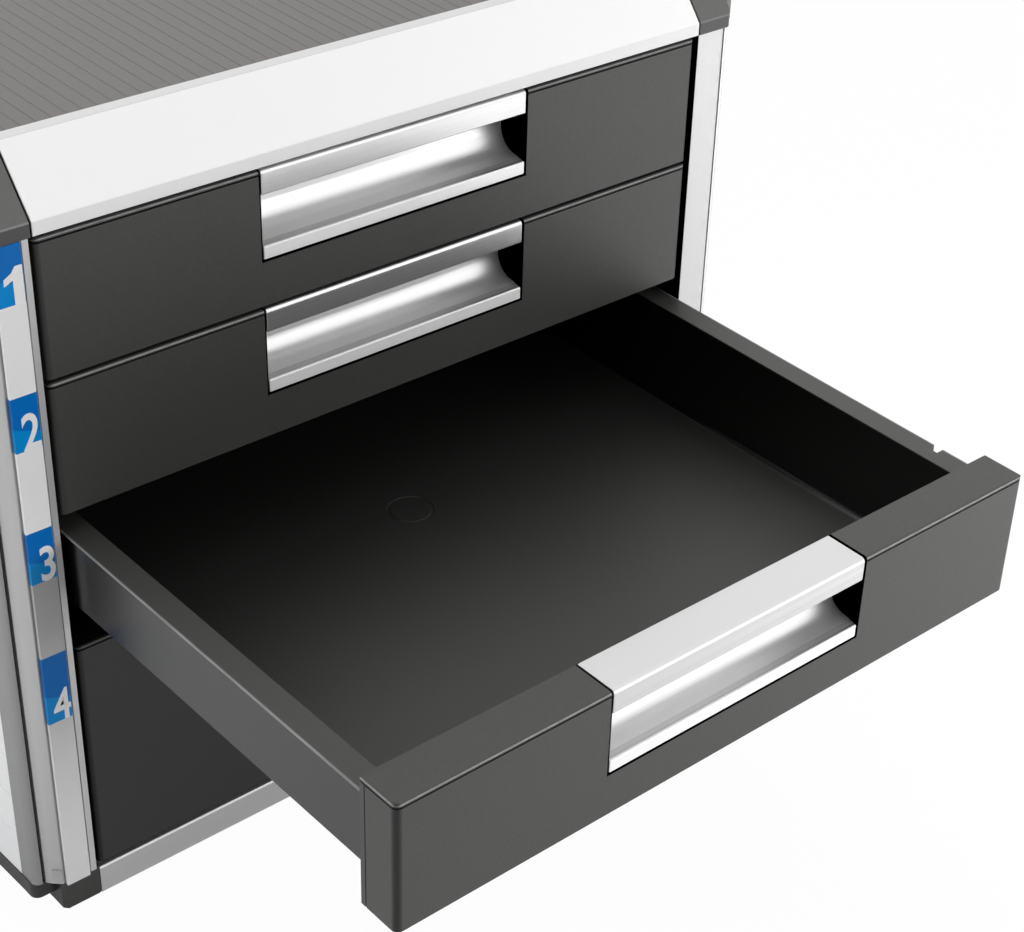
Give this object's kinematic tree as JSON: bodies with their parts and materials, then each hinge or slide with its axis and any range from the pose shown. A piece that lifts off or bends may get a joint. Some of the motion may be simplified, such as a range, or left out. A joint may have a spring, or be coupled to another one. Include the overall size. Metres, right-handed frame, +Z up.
{
  "type": "desk file cabinet",
  "caption": "Desktop file cabinet with sliding drawers behind aluminium corner posts, white sides, a ribbed top and an index strip; recessed aluminium pulls.",
  "frame": {"origin": "middle of the base's flat underside, on the cabinet's centre line and halfway between the cover's front lip and the back", "axes": "+X to the right as seen from the front, +Y from the drawer fronts to the back, +Z up"},
  "size_m": [0.3098, 0.5018, 0.2805],
  "materials": {
    "charcoal_plastic": "fine-textured dark grey ABS",
    "dark_plastic": "dark grey moulded ABS",
    "drawer_plastic": "satin charcoal polystyrene",
    "grey_plastic": "mid grey ribbed panel, satin",
    "white_plastic": "white panel, satin",
    "anodised_aluminium": "natural satin anodised",
    "handle_aluminium": "natural satin anodised",
    "cover_aluminium": "near-white satin coated aluminium",
    "screw_steel": "zinc plated",
    "foot_rubber": "black, matt",
    "label_card": "white index strip with blue fields",
    "clear_plastic": "clear moulded clip"
  },
  "bodies": {
    "cabinet": {"base_pan": "dark_plastic", "base_front_rail": "anodised_aluminium", "base_rear_rail": "dark_plastic", "corner_block_front_left": "charcoal_plastic", "corner_block_front_right": "charcoal_plastic", "corner_block_rear_left": "charcoal_plastic", "corner_block_rear_right": "charcoal_plastic", "rubber_feet": "foot_rubber", "post_front_left": "anodised_aluminium", "post_front_right": "anodised_aluminium", "post_rear_left": "anodised_aluminium", "post_rear_right": "anodised_aluminium", "side_profile_front_left": "anodised_aluminium", "side_profile_front_right": "anodised_aluminium", "side_profile_rear_left": "anodised_aluminium", "side_profile_rear_right": "anodised_aluminium", "side_panel_left": "white_plastic", "side_panel_right": "white_plastic", "side_liner_left": "dark_plastic", "side_liner_right": "dark_plastic", "back_panel": "dark_plastic", "back_screws": "screw_steel", "top_rail_left": "charcoal_plastic", "top_rail_right": "charcoal_plastic", "top_cover": "cover_aluminium", "top_panel": "grey_plastic", "top_rear_rail": "dark_plastic", "label_strip": "label_card", "label_clip": "clear_plastic"},
    "drawer_1": {"drawer_1_tray": "drawer_plastic", "drawer_1_front": "drawer_plastic", "drawer_1_handle": "handle_aluminium"},
    "drawer_2": {"drawer_2_tray": "drawer_plastic", "drawer_2_front": "drawer_plastic", "drawer_2_handle": "handle_aluminium"},
    "drawer_3": {"drawer_3_tray": "drawer_plastic", "drawer_3_front": "drawer_plastic", "drawer_3_handle": "handle_aluminium"},
    "drawer_4": {"drawer_4_tray": "drawer_plastic", "drawer_4_front": "drawer_plastic", "drawer_4_handle": "handle_aluminium"}
  },
  "joints": [
    {"name": "drawer_1_slide", "type": "slide", "parent": "cabinet", "child": "drawer_1", "axis": [0, -1, 0], "range_m": [0, 0.255]},
    {"name": "drawer_2_slide", "type": "slide", "parent": "cabinet", "child": "drawer_2", "axis": [0, -1, 0], "range_m": [0, 0.255]},
    {"name": "drawer_3_slide", "type": "slide", "parent": "cabinet", "child": "drawer_3", "axis": [0, -1, 0], "range_m": [-0.1683, 0.0867]},
    {"name": "drawer_4_slide", "type": "slide", "parent": "cabinet", "child": "drawer_4", "axis": [0, -1, 0], "range_m": [0, 0.255]}
  ]
}
